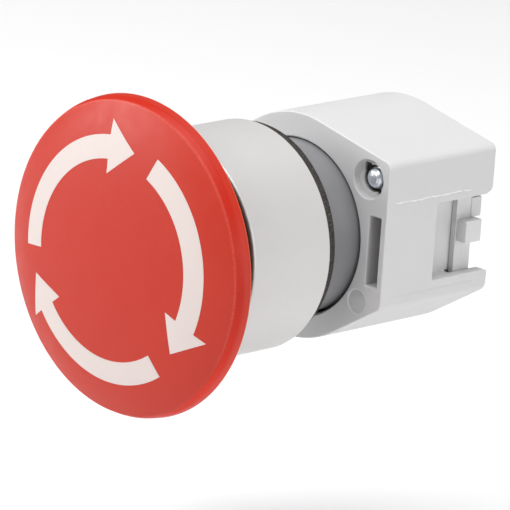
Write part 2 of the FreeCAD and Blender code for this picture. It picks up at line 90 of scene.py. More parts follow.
def rounded(points, steps=6, closed=True):
    """Turn (a, b, radius) points into (a, b) points, with an arc where the radius is > 0."""
    out = []
    count = len(points)
    for i, (a, b, radius) in enumerate(points):
        if radius <= 0 or (not closed and i in (0, count - 1)):
            out.append((a, b))
            continue
        corner = Vector((a, b))
        back = Vector(points[i - 1][:2]) - corner
        ahead = Vector(points[(i + 1) % count][:2]) - corner
        back_length, ahead_length = back.length, ahead.length
        back.normalize()
        ahead.normalize()
        angle = math.acos(max(-1, min(1, back.dot(ahead))))
        if angle > math.pi - 1e-3:
            out.append((a, b))
            continue
        reach = min(radius / math.tan(angle / 2), 0.499 * back_length, 0.499 * ahead_length)
        fitted = reach * math.tan(angle / 2)
        centre = corner + (back + ahead).normalized() * (fitted / math.sin(angle / 2))
        start, end = corner + back * reach - centre, corner + ahead * reach - centre
        start_angle = math.atan2(start.y, start.x)
        end_angle = math.atan2(end.y, end.x)
        sweep = (end_angle - start_angle + math.pi) % TAU - math.pi
        arcs = max(2, int(steps * abs(sweep) / (math.pi / 2)) + 1)
        for j in range(arcs + 1):
            turn = start_angle + sweep * j / arcs
            out.append((centre.x + fitted * math.cos(turn), centre.y + fitted * math.sin(turn)))
    return out


def rect(a0, a1, b0, b1, radius, steps=5):
    return rounded([(a0, b0, radius), (a1, b0, radius), (a1, b1, radius), (a0, b1, radius)], steps)


def sector(inner, outer, middle, half_angle, corner, steps=40):
    """Ring sector round the angle middle, in degrees."""
    start, end = middle - half_angle, middle + half_angle
    points = []
    for radius, first, last in ((outer, start, end), (inner, end, start)):
        for k in range(steps + 1):
            a, b = polar(radius, first + (last - first) * k / steps)
            points.append((a, b, corner if k in (0, steps) else 0))
    return rounded(points, steps=4)


def counter_clockwise(loop):
    area = sum(loop[i - 1][0] * loop[i][1] - loop[i][0] * loop[i - 1][1]
               for i in range(len(loop)))
    return loop if area > 0 else loop[::-1]


def offset(loop, distance):
    """Move a counter-clockwise loop outwards."""
    out = []
    for i in range(len(loop)):
        before, here = Vector(loop[i - 1]), Vector(loop[i])
        after = Vector(loop[(i + 1) % len(loop)])
        edge_in, edge_out = (here - before).normalized(), (after - here).normalized()
        normal_in = Vector((edge_in.y, -edge_in.x))
        normal_out = Vector((edge_out.y, -edge_out.x))
        mitre = normal_in + normal_out
        if mitre.length < 1e-6:
            mitre = normal_in
        mitre.normalize()
        moved = here + mitre * (distance / max(0.35, mitre.dot(normal_in)))
        out.append((moved.x, moved.y))
    return out


# ---------------------------------------------------------------------------------------
# solids
# ---------------------------------------------------------------------------------------
def add_object(name, data):
    ob = bpy.data.objects.new(name, data)
    bpy.context.scene.collection.objects.link(ob)
    return ob


def mesh_object(name, verts, faces):
    mesh = bpy.data.meshes.new(name)
    mesh.from_pydata([(x * MM, y * MM, z * MM) for x, y, z in verts], [], faces)
    mesh.validate(clean_customdata=False)
    ob = add_object(name, mesh)
    bm = bmesh.new()
    bm.from_mesh(mesh)
    bmesh.ops.remove_doubles(bm, verts=bm.verts, dist=1e-7)
    bmesh.ops.recalc_face_normals(bm, faces=bm.faces)
    bm.to_mesh(mesh)
    bm.free()
    return ob


def tube_faces(rows, size):
    """Quads between rows of size points each, numbered row by row."""
    faces = []
    for j in range(rows - 1):
        for i in range(size):
            i2 = (i + 1) % size
            faces.append((j * size + i, j * size + i2, (j + 1) * size + i2, (j + 1) * size + i))
    return faces


def add_rings(verts, profile, segs):
    """Append a ring round Y for each (radius, y) point, and return the indices of each ring."""
    rings = []
    for radius, y in profile:
        start = len(verts)
        if radius < 1e-6:
            verts.append((0, y, 0))
        else:
            verts += [(radius * math.cos(TAU * k / segs), y, radius * math.sin(TAU * k / segs))
                      for k in range(segs)]
        rings.append(range(start, len(verts)))
    return rings


def ring_faces(rings, segs):
    """Faces between neighbouring rings; a ring on the axis is a single point."""
    faces = []
    for low, high in zip(rings, rings[1:]):
        if len(low) == 1 and len(high) == 1:
            continue
        for k in range(segs):
            k2 = (k + 1) % segs
            if len(low) == 1:
                faces.append((low[0], high[k], high[k2]))
            elif len(high) == 1:
                faces.append((low[k], high[0], low[k2]))
            else:
                faces.append((low[k], high[k], high[k2], low[k2]))
    return faces


def lathe(profile, segs=240, closed=True, name="tool"):
    """Turn (radius, y) points round the Y axis."""
    verts = []
    rings = add_rings(verts, profile, segs)
    if closed:
        rings.append(rings[0])
    return mesh_object(name, verts, ring_faces(rings, segs))


def turned(outline, steps=6, segs=240, closed=True, name="tool"):
    """Lathe an outline of (radius, y, corner radius) points."""
    return lathe(rounded(outline, steps, closed), segs, closed, name)


def along_y(a, b, h):
    """a is x and b is z."""
    return a, h, b


def along_x(a, b, h):
    """a is y and b is z."""
    return h, a, b


def along_z(a, b, h):
    """a is x and b is y."""
    return a, b, h


def loft(loop, levels, place=along_y, name="tool"):
    """Stack copies of a loop: levels are (height, outward offset)."""
    loop = counter_clockwise(loop)
    size = len(loop)
    verts = []
    for height, grow in levels:
        level = offset(loop, grow) if abs(grow) > 1e-9 else loop
        verts += [place(a, b, height) for a, b in level]
    faces = tube_faces(len(levels), size)
    faces.append(tuple(range(size - 1, -1, -1)))
    faces.append(tuple(range((len(levels) - 1) * size, len(levels) * size)))
    return mesh_object(name, verts, faces)


def rounded_levels(low, high, low_radius, high_radius, steps=4):
    """Loft levels from low to high, with both ends rounded."""
    turns = [math.pi / 2 * k / steps for k in range(steps + 1)]
    return ([(low + low_radius * (1 - math.cos(w)), -low_radius * (1 - math.sin(w)))
             for w in turns]
            + [(high - high_radius * (1 - math.cos(w)), -high_radius * (1 - math.sin(w)))
               for w in reversed(turns)])


def block(x0, x1, y0, y1, z0, z1, end_radius, side_radius):
    """Box whose edges along Y have side_radius and whose end faces have end_radius."""
    return loft(rect(x0, x1, z0, z1, side_radius, steps=3),
                rounded_levels(y0, y1, end_radius, end_radius, steps=3))


def combine(ob, tool, operation):
    """Apply a boolean to ob and delete the tool."""
    modifier = ob.modifiers.new("b", "BOOLEAN")
    modifier.operation = operation
    modifier.object = tool
    modifier.solver = "MANIFOLD"
    depsgraph = bpy.context.evaluated_depsgraph_get()
    new = bpy.data.meshes.new_from_object(ob.evaluated_get(depsgraph))
    ob.modifiers.clear()
    old = ob.data
    ob.data = new
    new.name = ob.name
    bpy.data.meshes.remove(old)
    delete(tool)


def cut(ob, tool):
    combine(ob, tool, "DIFFERENCE")


def fuse(ob, tool):
    combine(ob, tool, "UNION")


def delete(ob):
    mesh = ob.data
    bpy.data.objects.remove(ob)
    bpy.data.meshes.remove(mesh)


def join(ob, *others):
    for other in others:
        bm = bmesh.new()
        bm.from_mesh(ob.data)
        bm.from_mesh(other.data)
        bm.to_mesh(ob.data)
        bm.free()
        delete(other)


def rotate(ob, degrees):
    """Turn about the Y axis."""
    ob.data.transform(Matrix.Rotation(math.radians(degrees), 4, "Y"))
    return ob


def turned_copy(ob, degrees, name):
    mesh = ob.data.copy()
    mesh.transform(Matrix.Rotation(math.radians(degrees), 4, "Y"))
    return add_object(name, mesh)


def move(ob, x=0, y=0, z=0):
    ob.data.transform(Matrix.Translation((x * MM, y * MM, z * MM)))
    return ob


def bore(profile, x, z, segs=72):
    """Tool turned from (radius, y) points, set parallel to Y at x, z."""
    return move(lathe(profile, segs, closed=False), x, 0, z)


def spring_hole(y0, y1, z):
    radius = SPRING_HOLE_RADIUS
    return bore([(0, y0), (radius, y0), (radius, y1), (0, y1)], COIL_X, z, segs=32)


def clean(ob, dist=4e-7):
    bm = bmesh.new()
    bm.from_mesh(ob.data)
    bmesh.ops.remove_doubles(bm, verts=bm.verts, dist=dist)
    bmesh.ops.dissolve_degenerate(bm, edges=bm.edges, dist=dist)
    bmesh.ops.recalc_face_normals(bm, faces=bm.faces)
    bm.to_mesh(ob.data)
    bm.free()


def shade(ob, angle):
    """Smooth shading with edges sharper than angle kept."""
    ob.data.shade_smooth()
    ob.data.set_sharp_from_angle(angle=math.radians(angle))
    modifier = ob.modifiers.new("normals", "WEIGHTED_NORMAL")
    modifier.mode = "FACE_AREA"
    modifier.weight = 60
    modifier.keep_sharp = True


def finish(ob, body, material, node, angle=32, cleaned=True):
    """Give a piece its material and shading, and hand it to the frame in place of node."""
    if cleaned:
        clean(ob)
    ob.data.materials.clear()
    ob.data.materials.append(material)
    shade(ob, angle)
    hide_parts(node)
    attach(ob, body)


# ---------------------------------------------------------------------------------------
# shader helpers
# ---------------------------------------------------------------------------------------
class Shader:
    """The node tree of one material, textured in object coordinates."""

    def __init__(self, name):
        self.material = bpy.data.materials.new(name)
        self.material.use_nodes = True
        self.tree = self.material.node_tree
        self.bsdf = self.tree.nodes["Principled BSDF"]
        self.coords = self.new("ShaderNodeTexCoord").outputs["Object"]

    def new(self, kind, **settings):
        node = self.tree.nodes.new(kind)
        for key, value in settings.items():
            setattr(node, key, value)
        return node

    def link(self, output, socket):
        self.tree.links.new(output, socket)

    def put(self, socket, value):
        """Link a socket or set a plain value."""
        if isinstance(value, bpy.types.NodeSocket):
            self.link(value, socket)
        else:
            socket.default_value = value

    def set(self, **values):
        """Set inputs of the surface, with _ for each space in their names."""
        for key, value in values.items():
            self.put(self.bsdf.inputs[key.replace("_", " ")], value)

    def noise(self, scale, detail=2.0, rough=0.5, stretch=None):
        coords = self.coords
        if stretch:
            mapping = self.new("ShaderNodeMapping")
            mapping.inputs["Scale"].default_value = stretch
            self.link(coords, mapping.inputs["Vector"])
            coords = mapping.outputs["Vector"]
        node = self.new("ShaderNodeTexNoise")
        self.link(coords, node.inputs["Vector"])
        node.inputs["Scale"].default_value = scale
        node.inputs["Detail"].default_value = detail
        node.inputs["Roughness"].default_value = rough
        return node.outputs["Fac"]

    def xyz(self):
        node = self.new("ShaderNodeSeparateXYZ")
        self.link(self.coords, node.inputs[0])
        return node.outputs

    def remap(self, value, out_lo, out_hi, lo=0.0, hi=1.0):
        node = self.new("ShaderNodeMapRange")
        self.link(value, node.inputs["Value"])
        node.inputs["From Min"].default_value = lo
        node.inputs["From Max"].default_value = hi
        node.inputs["To Min"].default_value = out_lo
        node.inputs["To Max"].default_value = out_hi
        return node.outputs["Result"]

    def rise(self, value, lo, hi):
        """0 below lo, 1 above hi."""
        return self.remap(value, 0.0, 1.0, lo, hi)

    def fall(self, value, lo, hi):
        """1 below lo, 0 above hi."""
        return self.remap(value, 1.0, 0.0, lo, hi)

    def math(self, operation, a, b=0.0):
        node = self.new("ShaderNodeMath", operation=operation)
        self.put(node.inputs[0], a)
        self.put(node.inputs[1], b)
        return node.outputs[0]

    def product(self, first, *others):
        for other in others:
            first = self.math("MULTIPLY", first, other)
        return first

    def length(self, a, b):
        return self.math("SQRT", self.math("ADD", self.product(a, a), self.product(b, b)))

    def pair_distance(self, x, z, centre_x, centre_z):
        """Distance to a point at positive x, or on the other side to its half-turn twin."""
        dx = self.math("SUBTRACT", self.math("ABSOLUTE", x), centre_x)
        dz = self.math("SUBTRACT", self.product(z, self.math("SIGN", x)), centre_z)
        return self.length(dx, dz)

    def mix(self, factor, a, b):
        node = self.new("ShaderNodeMix", data_type="RGBA", blend_type="MIX")
        self.put(node.inputs["Factor"], factor)
        for socket, value in ((node.inputs[6], a), (node.inputs[7], b)):
            self.put(socket, (*value, 1) if isinstance(value, tuple) else value)
        return node.outputs[2]

    def layer(self, base, mask, colour, strength):
        """Lay a colour over the base where the mask is 1, at the given strength."""
        return self.mix(self.product(mask, strength), base, colour)

    def bump(self, height, strength, distance, normal=None):
        node = self.new("ShaderNodeBump")
        self.link(height, node.inputs["Height"])
        node.inputs["Strength"].default_value = strength
        node.inputs["Distance"].default_value = distance
        if normal is not None:
            self.link(normal, node.inputs["Normal"])
        return node.outputs["Normal"]

    def moulded_grain(self, fine, coarse, coarse_weight, strength):
        """Surface of an eroded mould: two noises of the given scales."""
        fine_grain = self.noise(scale=fine, detail=3, rough=0.6)
        coarse_grain = self.noise(scale=coarse, detail=2, rough=0.5)
        height = self.math("ADD", self.product(fine_grain, 0.7),
                           self.product(coarse_grain, coarse_weight))
        self.set(Normal=self.bump(height, strength, distance=0.00003))

    def uneven_gloss(self, scale, detail, low, high):
        """Roughness that drifts between low and high."""
        self.set(Roughness=self.remap(self.noise(scale, detail), low, high, lo=0.3, hi=0.7))

    def edges(self, radius, lo, hi):
        """1 along edges, 0 on open faces."""
        bevel = self.new("ShaderNodeBevel")
        bevel.samples = 4
        bevel.inputs["Radius"].default_value = radius
        geometry = self.new("ShaderNodeNewGeometry")
        dot = self.new("ShaderNodeVectorMath", operation="DOT_PRODUCT")
        self.link(bevel.outputs["Normal"], dot.inputs[0])
        self.link(geometry.outputs["Normal"], dot.inputs[1])
        return self.fall(dot.outputs["Value"], lo, hi)


def tint(colour, gain, lift=0.0):
    return tuple(min(1, c * gain + lift) for c in colour)


# ---------------------------------------------------------------------------------------
# materials
# ---------------------------------------------------------------------------------------
def plastic(name, colour, rough, grain, grain_strength, variation, cloud,
            specular=0.5, subsurface=0.0, wear=0.0, details=None):
    """Moulded plastic: colour clouds, fine specks, paler worn edges, grain, uneven gloss.

    grain and cloud are noise scales; details may add more layers to the base colour.
    """
    n = Shader(name)
    base = n.mix(n.noise(scale=cloud, detail=4, rough=0.55),
                 tint(colour, gain=1 - variation), tint(colour, gain=1 + variation))
    speck = n.rise(n.noise(scale=grain * 0.6, detail=1, rough=0.5), lo=0.68, hi=0.8)
    base = n.layer(base, speck, tint(colour, gain=1.35, lift=0.02), strength=0.10)
    if wear > 0:
        patches = n.remap(n.noise(scale=1300, detail=3), out_lo=0.2, out_hi=1.0, lo=0.35, hi=0.6)
        edge = n.product(n.edges(radius=0.00014, lo=0.93, hi=1.0), patches)
        base = n.layer(base, edge, tint(colour, gain=1.25, lift=0.03), strength=wear)
    if details:
        base = details(n, base)
    n.set(Base_Color=base, Specular_IOR_Level=specular)
    n.uneven_gloss(scale=cloud * 3, detail=3, low=rough - 0.05, high=rough + 0.06)
    n.moulded_grain(fine=grain, coarse=grain * 0.22, coarse_weight=0.5, strength=grain_strength)
    if subsurface:
        n.set(Subsurface_Weight=subsurface, Subsurface_Scale=0.0006,
              Subsurface_Radius=(1.0, 0.6, 0.4))
    return n.material


def flange_details(n, base):
    """Marks, painted highlights and painted shade that belong to places on the flange."""
    # painted highlight on the crest of the moulding flash, just outside the flat sides
    crest = (FLAT_X + 0.02) * MM
    x = n.xyz()[0]
    mask = n.remap(n.math("ABSOLUTE", x), out_lo=0.0, out_hi=0.85, lo=crest, hi=crest + 0.00003)
    base = n.mix(mask, base, (0.86, 0.86, 0.87))

    # patchy painted shade down the screw holes
    hole_radius, hole_shade_front, hole_shade_rear = 0.0024, 0.00912, 0.0165
    x, y, z = n.xyz()
    distance = n.pair_distance(x, z, SCREW_X * MM, SCREW_Z * MM)
    near = n.fall(distance, lo=hole_radius, hi=hole_radius + 0.00025)
    deep = n.product(n.rise(y, lo=hole_shade_front, hi=hole_shade_front + 0.00035),
                     n.fall(y, lo=hole_shade_rear, hi=hole_shade_rear + 0.0005))
    patchy = n.remap(n.noise(scale=1500, detail=3, rough=0.6),
                     out_lo=0.80, out_hi=1.0, lo=0.35, hi=0.6)
    base = n.mix(n.product(near, deep, patchy), base, (0.075, 0.068, 0.060))

    # ejector marks: a slightly darker disc with a paler rim, on the front face only
    radius, face_y = MARK_RADIUS * MM, 0.0085
    x, y, z = n.xyz()
    distance = n.pair_distance(x, z, MARK_X * MM, MARK_Z * MM)
    face = n.fall(y, lo=face_y, hi=face_y + 0.0002)
    disc = n.product(n.fall(distance, lo=radius - 0.00015, hi=radius - 0.00003), face)
    rim = n.product(n.rise(distance, lo=radius - 0.00003, hi=radius + 0.00005),
                    n.fall(distance, lo=radius + 0.00010, hi=radius + 0.00022), face)
    base = n.layer(base, disc, (0.47, 0.47, 0.475), strength=0.42)
    base = n.layer(base, rim, (0.74, 0.74, 0.745), strength=0.5)

    # painted shade inside the deep front slots, a darker grey
    turned_z = n.product(z, n.math("SIGN", x))
    in_x = n.product(n.rise(n.math("ABSOLUTE", x), lo=0.01266, hi=0.01268),
                     n.fall(n.math("ABSOLUTE", x), lo=0.01470, hi=0.01472))
    in_z = n.product(n.rise(turned_z, lo=-0.00482, hi=-0.00480),
                     n.fall(turned_z, lo=0.00422, hi=0.00424))
    in_y = n.product(n.rise(y, lo=0.0083, hi=0.0088), n.fall(y, lo=0.0153, hi=0.0154))
    return n.mix(n.product(in_x, in_z, in_y), base, (0.46, 0.455, 0.45))


def metal(name, colour, rough, variation, cloud, grain=6000, grain_strength=0.08,
          metallic=1.0, brush=None, brush_strength=0.0, dirt=None):
    """Metal: colour clouds, uneven polish, fine blasting, optional brushing and dark patches.

    cloud and grain are noise scales, brush is the stretch of the brushing along x, y, z.
    """
    n = Shader(name)
    base = n.mix(n.noise(scale=cloud, detail=4, rough=0.6),
                 tint(colour, gain=1 - variation), tint(colour, gain=1 + variation))
    if dirt:
        patches = n.noise(scale=cloud * 2.2, detail=5, rough=0.65)
        base = n.mix(n.remap(patches, out_lo=0.0, out_hi=0.5, lo=0.55, hi=0.8), base, dirt)
    n.set(Base_Color=base, Metallic=metallic)
    n.uneven_gloss(scale=cloud * 4, detail=3, low=rough - 0.06, high=rough + 0.08)
    normal = n.bump(n.noise(scale=grain, detail=2), grain_strength, distance=0.00002)
    if brush:
        strokes = n.noise(scale=1.0, detail=3, rough=0.6, stretch=brush)
        normal = n.bump(strokes, brush_strength, distance=0.00003, normal=normal)
    n.set(Normal=normal)
    return n.material


def black_rubber():
    """Dull black with pale specks and slow lighter patches."""
    n = Shader("black_rubber")
    colour = (0.018, 0.0145, 0.013)
    speck = n.rise(n.noise(scale=7000, detail=2, rough=0.6), lo=0.55, hi=0.72)
    base = n.layer(colour, speck, (0.34, 0.30, 0.26), strength=0.55)
    patches = n.remap(n.noise(scale=900, detail=3), out_lo=0, out_hi=0.5, lo=0.45, hi=0.7)
    base = n.mix(patches, base, tint(colour, gain=2.2, lift=0.012))
    n.set(Base_Color=base, Specular_IOR_Level=0.35)
    n.uneven_gloss(scale=3000, detail=2, low=0.62, high=0.85)
    n.set(Normal=n.bump(n.noise(scale=5200, detail=3, rough=0.6),
                        strength=0.55, distance=0.00006))
    return n.material


def cap_red():
    """Satin red with painted light: a painted highlight where the dome meets the shoulder, painted
    reflection tones behind it, a painted highlight on the rear lip.
    """
    n = Shader("red_plastic")
    x, y, z = n.xyz()
    radius = n.length(x, z)
    base = n.mix(n.noise(scale=170, detail=4, rough=0.55),
                 (0.425, 0.0225, 0.0100), (0.450, 0.0265, 0.0120))
    # painted sheen: slightly paler towards the outer part of the dome
    base = n.layer(base, n.rise(radius, lo=0.009, hi=0.0185), (0.46, 0.036, 0.020), strength=0.25)
    # pale and dark specks
    pale = n.rise(n.noise(scale=5200, detail=1, rough=0.5), lo=0.66, hi=0.80)
    base = n.layer(base, pale, (0.66, 0.16, 0.12), strength=0.14)
    dark = n.rise(n.noise(scale=2600, detail=2, rough=0.6), lo=0.62, hi=0.80)
    base = n.layer(base, dark, (0.30, 0.012, 0.006), strength=0.10)
    # painted highlight along the ridge, in patches, fainter towards the bottom
    ridge = n.product(n.rise(radius, lo=0.01915, hi=0.01938),
                      n.fall(radius, lo=0.01942, hi=0.01956))
    front = n.fall(y, lo=-0.0213, hi=-0.0211)
    patches = n.remap(n.noise(scale=3800, detail=3, rough=0.65),
                      out_lo=0.08, out_hi=0.50, lo=0.40, hi=0.66)
    upper = n.remap(z, out_lo=0.30, out_hi=1.0, lo=-0.011, hi=-0.002)
    base = n.mix(n.product(ridge, front, patches, upper), base, (0.66, 0.13, 0.10))
    # behind it a saturated band, then a duller wall: painted reflection tones, both painted
    # brighter towards the bottom
    band = n.product(n.rise(radius, lo=0.01945, hi=0.01958), n.fall(y, lo=-0.0207, hi=-0.0202))
    base = n.mix(band, base, n.mix(n.fall(z, lo=-0.012, hi=0.0),
                                   (0.450, 0.0185, 0.0075), (0.600, 0.0240, 0.0095)))
    wall = n.product(n.rise(radius, lo=0.01945, hi=0.01965), n.rise(y, lo=-0.0207, hi=-0.0202))
    base = n.mix(wall, base, n.mix(n.fall(z, lo=-0.012, hi=0.0),
                                   (0.480, 0.0285, 0.0138), (0.570, 0.0340, 0.0165)))
    # painted highlight: the rounded rear lip painted bright orange
    rear_lip_highlight = n.product(n.rise(y, lo=-0.01965, hi=-0.01950), n.rise(radius, lo=0.0194, hi=0.0197))
    base = n.layer(base, rear_lip_highlight, (0.80, 0.16, 0.05), strength=0.65)
    n.set(Base_Color=base)
    n.uneven_gloss(scale=500, detail=3, low=0.37, high=0.47)
    n.moulded_grain(fine=7800, coarse=2100, coarse_weight=0.6, strength=0.32)
    n.set(Specular_IOR_Level=n.remap(band, out_lo=0.26, out_hi=0.17), Subsurface_Weight=0.06,
          Subsurface_Scale=0.0005, Subsurface_Radius=(1.0, 0.25, 0.1))
    return n.material


def silver_satin():
    """Satin silver: faint flake, slow colour drift, thin turning marks, a front lip painted dark
    as shade.
    """
    n = Shader("silver_finish")
    base = n.mix(n.noise(scale=90, detail=2, rough=0.5),
                 (0.588, 0.577, 0.569), (0.606, 0.596, 0.589))
    flake = n.rise(n.noise(scale=9000, detail=1, rough=0.5), lo=0.60, hi=0.78)
    base = n.layer(base, flake, (0.80, 0.79, 0.79), strength=0.18)
    dark = n.rise(n.noise(scale=2400, detail=3, rough=0.6), lo=0.60, hi=0.80)
    base = n.layer(base, dark, (0.45, 0.44, 0.435), strength=0.10)
    # the front lip is painted dark as shade from the gap behind the cap, with a border that
    # wanders by up to waver
    waver = 0.0001
    y = n.xyz()[1]
    border = n.math("ADD", y, n.product(n.noise(scale=1400, detail=3, rough=0.6), waver))
    lip_shade = n.mix(n.noise(scale=2500, detail=3, rough=0.6),
                  (0.085, 0.070, 0.060), (0.160, 0.135, 0.118))
    base = n.mix(n.fall(border, lo=-0.01342, hi=-0.01324), base, lip_shade)
    n.set(Base_Color=base, Metallic=0.22, Specular_IOR_Level=0.5)
    n.uneven_gloss(scale=700, detail=2, low=0.40, high=0.45)
    turning = n.noise(scale=1.0, detail=2, rough=0.5, stretch=(60, 16000, 60))
    normal = n.bump(turning, strength=0.05, distance=0.00002)
    n.set(Normal=n.bump(n.noise(scale=9500, detail=2, rough=0.5),
                        strength=0.10, distance=0.00002, normal=normal))
    return n.material


RED = cap_red()
WHITE = plastic("arrow_white", (0.60, 0.520, 0.495), rough=0.55, grain=8000,
                grain_strength=0.16, variation=0.015, cloud=220, specular=0.35)
FLANGE_GREY = plastic("light_grey_plastic", (0.58, 0.58, 0.585), rough=0.50, grain=9000,
                      grain_strength=0.20, variation=0.02, cloud=120, specular=0.40,
                      wear=0.15, details=flange_details)
INSERT_GREY = plastic("light_grey_insert", (0.60, 0.60, 0.605), rough=0.42, grain=9000,
                      grain_strength=0.12, variation=0.02, cloud=200, specular=0.45, wear=0.3)
DARK_GREY = plastic("dark_grey_plastic", (0.20, 0.20, 0.21), rough=0.36, grain=8000,
                    grain_strength=0.10, variation=0.05, cloud=160, wear=0.25)
BLACK = plastic("black_plastic", (0.020, 0.020, 0.022), rough=0.45, grain=8000,
                grain_strength=0.15, variation=0.1, cloud=200, specular=0.45)
NATURAL = plastic("natural_plastic", (0.66, 0.63, 0.55), rough=0.4, grain=7000,
                  grain_strength=0.1, variation=0.03, cloud=180, subsurface=0.1)
SILVER = silver_satin()
ZINC = metal("zinc_steel", (0.80, 0.86, 0.93), rough=0.32, variation=0.08, cloud=1500,
             grain=5000, grain_strength=0.16, metallic=0.80, dirt=(0.54, 0.57, 0.62))
SPRING = metal("spring_steel", (0.55, 0.55, 0.56), rough=0.27, variation=0.07, cloud=900,
               grain=5200, dirt=(0.33, 0.32, 0.31))
OILED = metal("oiled_spring_steel", (0.16, 0.155, 0.15), rough=0.42, variation=0.10, cloud=900,
              grain=5200, grain_strength=0.10, metallic=0.9, dirt=(0.07, 0.065, 0.06))
STEEL = metal("ground_steel", (0.56, 0.57, 0.59), rough=0.3, variation=0.06, cloud=700,
              brush=(400, 9000, 400), brush_strength=0.12)
RUBBER = black_rubber()


# ---------------------------------------------------------------------------------------
# mushroom cap and its arrows
# ---------------------------------------------------------------------------------------
def dome_y(radius):
    """Face of the cap: a shallow sphere that falls away a little faster towards the rim."""
    sphere = CAP_FRONT + DOME_RADIUS - math.sqrt(DOME_RADIUS ** 2 - radius * radius)
    return sphere + 0.68 * max(0.0, (radius - 12.0) / 7.45) ** 3


def build_cap():
    dome_edge, dome_rings = 18.8, 45
    profile = [(0.0, CAP_FRONT)]
    for k in range(1, dome_rings + 1):
        radius = dome_edge * k / dome_rings
        profile.append((radius, dome_y(radius)))
    # shoulder and rear edge as (radius, y, corner radius); their end points only set directions
    profile += rounded([(18.9, dome_y(18.9), 0), (19.49, dome_y(19.47) - 0.02, 0.34),
                        (19.84, -20.7, 1.2), (20.0, CAP_REAR - 0.3, 0.0)],
                       steps=10, closed=False)[1:-1]
    profile += rounded([(19.9, CAP_REAR - 1.0, 0), (20.0, CAP_REAR, 0.16), (17.0, CAP_REAR, 0)],
                       closed=False)[1:-1]
    # ring groove in the rear face
    groove_inner, groove_outer, groove_y = 7.56, 10.2, -22.0
    profile += [(groove_outer, CAP_REAR), (groove_outer, groove_y), (groove_inner, groove_y),
                (groove_inner, CAP_REAR), (0.0, CAP_REAR)]
    cap = lathe(profile, segs=288, closed=False, name="mushroom_head")

    # six rear pockets, with 1.2 mm between neighbours at their middle radius
    inner, outer, half_web = 11.6, 17.8, 0.6
    half_angle = 30 - math.degrees(half_web / ((inner + outer) / 2))
    levels = [(-21.2, -0.1), (-21.1, -0.03), (-21.0, 0), (CAP_REAR - 0.12, 0),
              (CAP_REAR + 0.01, 0.1), (CAP_REAR + 1.0, 0.1)]
    for k in range(6):
        cut(cap, loft(sector(inner, outer, 60 * k + 60, half_angle, corner=0.5), levels))
    finish(cap, "head", RED, "mushroom_cap", angle=40)


def fill_loop(loop, step):
    """Triangulate a loop with a grid of extra points inside it. Returns points, triangles."""
    points = [Vector(p) for p in counter_clockwise(loop)]
    count = len(points)
    xs = [p.x for p in points]
    ys = [p.y for p in points]

    def inside(x, y):
        result = False
        for i in range(count):
            x0, y0 = points[i - 1]
            x1, y1 = points[i]
            if (y0 > y) != (y1 > y) and x < (x1 - x0) * (y - y0) / (y1 - y0) + x0:
                result = not result
        return result

    def clear_of_edges(x, y):
        here = Vector((x, y))
        for i in range(count):
            start, edge = points[i - 1], points[i] - points[i - 1]
            t = max(0, min(1, (here - start).dot(edge) / max(1e-12, edge.dot(edge))))
            if (here - start - edge * t).length < 0.45 * step:
                return False
        return True

    grid = []
    y = min(ys)
    while y < max(ys):
        x = min(xs)
        while x < max(xs):
            if inside(x, y) and clear_of_edges(x, y):
                grid.append(Vector((x, y)))
            x += step
        y += step
    edges = [(i, (i + 1) % count) for i in range(count)]
    verts, _, faces, _, _, _ = delaunay_2d_cdt(points + grid, edges, [tuple(range(count))],
                                               1, 1e-7)
    return [(p.x, p.y) for p in verts], [tuple(face) for face in faces]


def arrow_loop(tip_angle):
    """Outline of a curved arrow in x, z: the head at tip_angle, the shaft anticlockwise of it."""
    def point(radius, degrees):
        return Vector(polar(radius, degrees))

    shaft_inner, shaft_outer = 12.5, 15.4
    shaft_end = tip_angle + 106.0
    tip = point(14.15, tip_angle)
    barb_outer = point(17.3, tip_angle + 17.5)
    barb_inner = point(10.75, tip_angle + 18.3)

    def on_base(radius):
        """Where the line between the barbs crosses a radius."""
        low, high = 0.0, 1.0
        for _ in range(50):
            middle = (low + high) / 2
            if barb_outer.lerp(barb_inner, middle).length > radius:
                low = middle
            else:
                high = middle
        return barb_outer.lerp(barb_inner, (low + high) / 2)

    def line(start, end, steps):
        return [start.lerp(end, i / steps) for i in range(steps)]

    def arc(radius, start, end, steps):
        return [point(radius, start + (end - start) * i / steps) for i in range(steps)]

    def angle_past_tip(p):
        angle = math.degrees(math.atan2(p.y, p.x))
        while angle < tip_angle:
            angle += 360
        return angle

    root_outer, root_inner = on_base(shaft_outer), on_base(shaft_inner)
    loop = line(tip, barb_outer, 12) + line(barb_outer, root_outer, 5)
    loop += arc(shaft_outer, angle_past_tip(root_outer), shaft_end, 80)
    loop += line(point(shaft_outer, shaft_end), point(shaft_inner, shaft_end), 8)
    loop += arc(shaft_inner, shaft_end, angle_past_tip(root_inner), 70)
    loop += line(root_inner, barb_inner, 5) + line(barb_inner, tip, 12)
    return [(p.x, p.y) for p in loop]


def arrow(k):
    """One arrow as a thin closed inlay that follows the dome."""
    points, tris = fill_loop(arrow_loop(79.8 - 120.0 * k), step=0.55)
    verts = [(x, dome_y(math.hypot(x, z)) + level, z)
             for level in (-INK_HEIGHT, INK_DEPTH) for x, z in points]
    count = len(points)
    faces = tris + [tuple(count + i for i in reversed(tri)) for tri in tris]
    # walls along the edges that only one triangle uses
    edges = dict.fromkeys((tri[i], tri[(i + 1) % len(tri)]) for tri in tris
                          for i in range(len(tri)))
    for i, j in edges:
        if (j, i) not in edges:
            faces.append((j, i, count + i, count + j))
    return mesh_object("arrow_part", verts, faces)


def build_arrows():
    arrows = arrow(0)
    arrows.name = "turn_arrows"
    join(arrows, arrow(1), arrow(2))
    finish(arrows, "head", WHITE, "arrow_inlays", angle=30)


